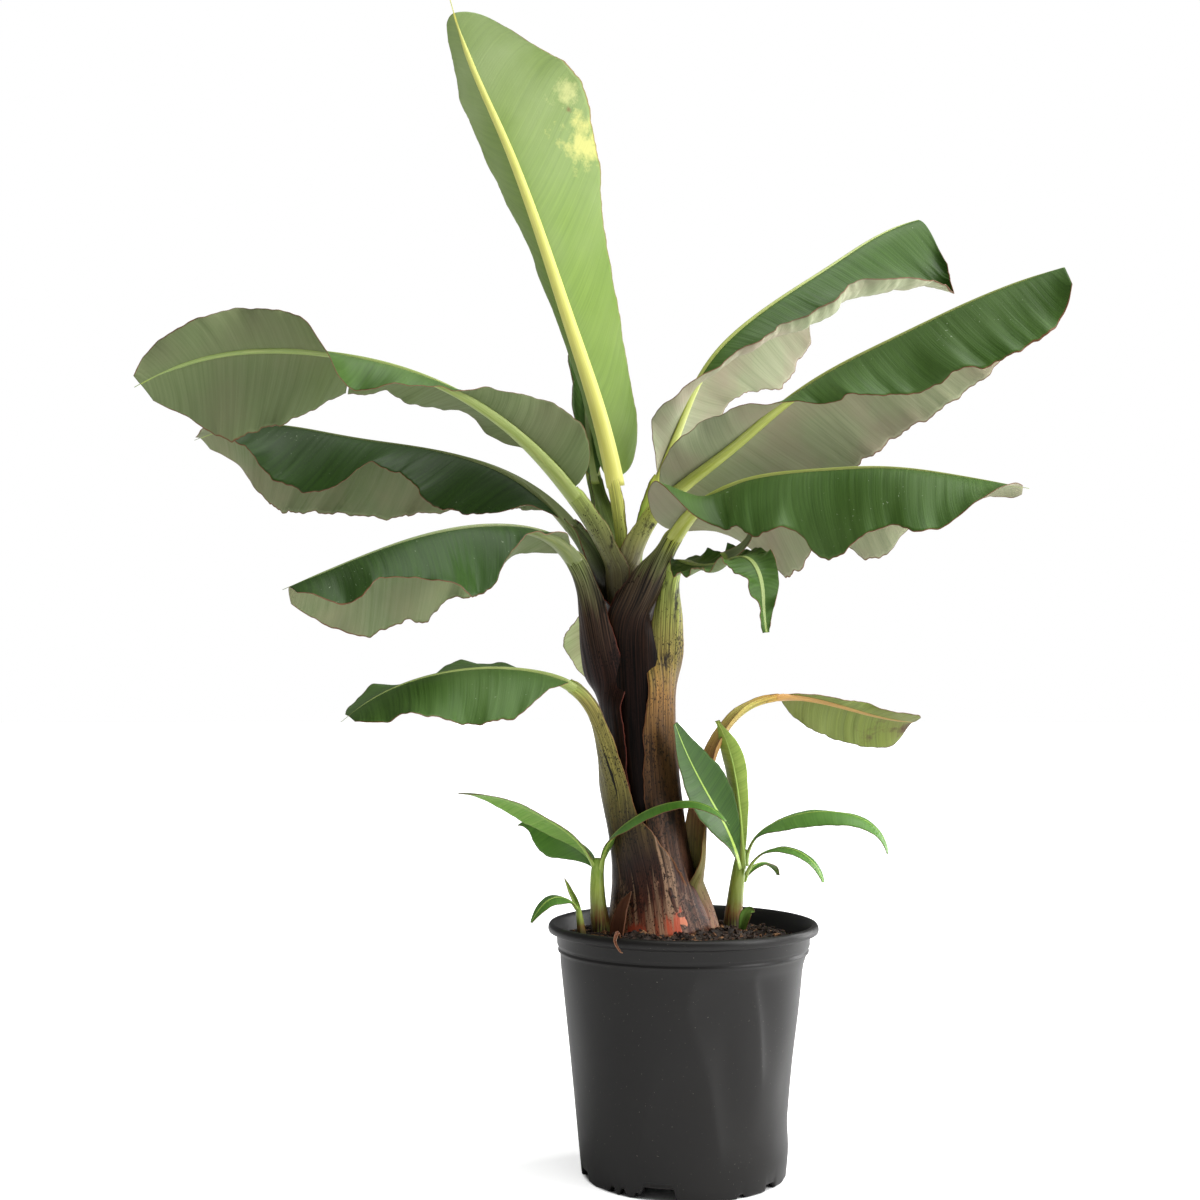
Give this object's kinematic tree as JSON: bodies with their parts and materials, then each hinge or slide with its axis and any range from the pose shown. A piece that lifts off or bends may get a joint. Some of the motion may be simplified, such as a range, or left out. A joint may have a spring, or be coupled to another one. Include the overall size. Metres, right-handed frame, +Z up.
{
  "type": "potted banana plant",
  "caption": "Young banana plant with a sheathed trunk, long arching leaves, an upright new leaf and side shoots, growing in a tapered round nursery pot.",
  "frame": {"origin": "centre of the pot's flat underside", "axes": "+Z up, -Y towards the plant's front, +X to the right as seen from the front"},
  "size_m": [0.8573, 0.4814, 1.1435],
  "materials": {
    "pot_plastic": "moulded black nursery plastic with a soft sheen",
    "potting_mix": "damp dark bark potting mix with light specks",
    "trunk_sheath": "glossy purple-brown leaf sheaths with streaks and dark blotches",
    "leaf_stalk": "olive to orange-brown stalk with dark specks",
    "shoot_stem": "bright yellow-green young stem, brown at its base",
    "young_leaf": "fresh light green leaf with a wide yellow midrib",
    "aged_leaf": "ageing olive leaf with browned margin",
    "leaf_blade": "waxy deep green leaf with fine parallel veins, paler grey-green underneath",
    "shoot_leaf": "small bright green leaf"
  },
  "bodies": {
    "root": {"pot": "pot_plastic", "soil": "potting_mix", "trunk": "trunk_sheath", "left_shoot_stem": "shoot_stem", "right_shoot_stem": "shoot_stem", "left_offshoot_stem": "shoot_stem", "spear_stalk": "leaf_stalk", "back_stalk": "leaf_stalk", "upper_left_stalk": "leaf_stalk", "middle_left_stalk": "leaf_stalk", "lower_left_stalk": "leaf_stalk", "lowest_left_stalk": "leaf_stalk", "behind_left_stalk": "leaf_stalk", "upper_right_stalk": "leaf_stalk", "right_stalk": "leaf_stalk", "middle_right_stalk": "leaf_stalk", "crumpled_stalk": "leaf_stalk", "lower_right_stalk": "leaf_stalk", "spear_blade": "young_leaf", "back_blade": "leaf_blade", "upper_left_blade": "leaf_blade", "middle_left_blade": "leaf_blade", "lower_left_blade": "leaf_blade", "lowest_left_blade": "leaf_blade", "behind_left_blade": "leaf_blade", "upper_right_blade": "leaf_blade", "right_blade": "leaf_blade", "middle_right_blade": "leaf_blade", "crumpled_blade": "leaf_blade", "lower_right_blade": "aged_leaf", "left_shoot_leaf_a": "shoot_leaf", "left_shoot_leaf_b": "shoot_leaf", "left_shoot_leaf_c": "shoot_leaf", "left_offshoot_leaf": "shoot_leaf", "right_shoot_leaf_a": "shoot_leaf", "right_shoot_leaf_b": "shoot_leaf", "right_shoot_leaf_c": "shoot_leaf", "right_shoot_leaf_d": "shoot_leaf", "right_shoot_leaf_e": "shoot_leaf"}
  },
  "joints": []
}
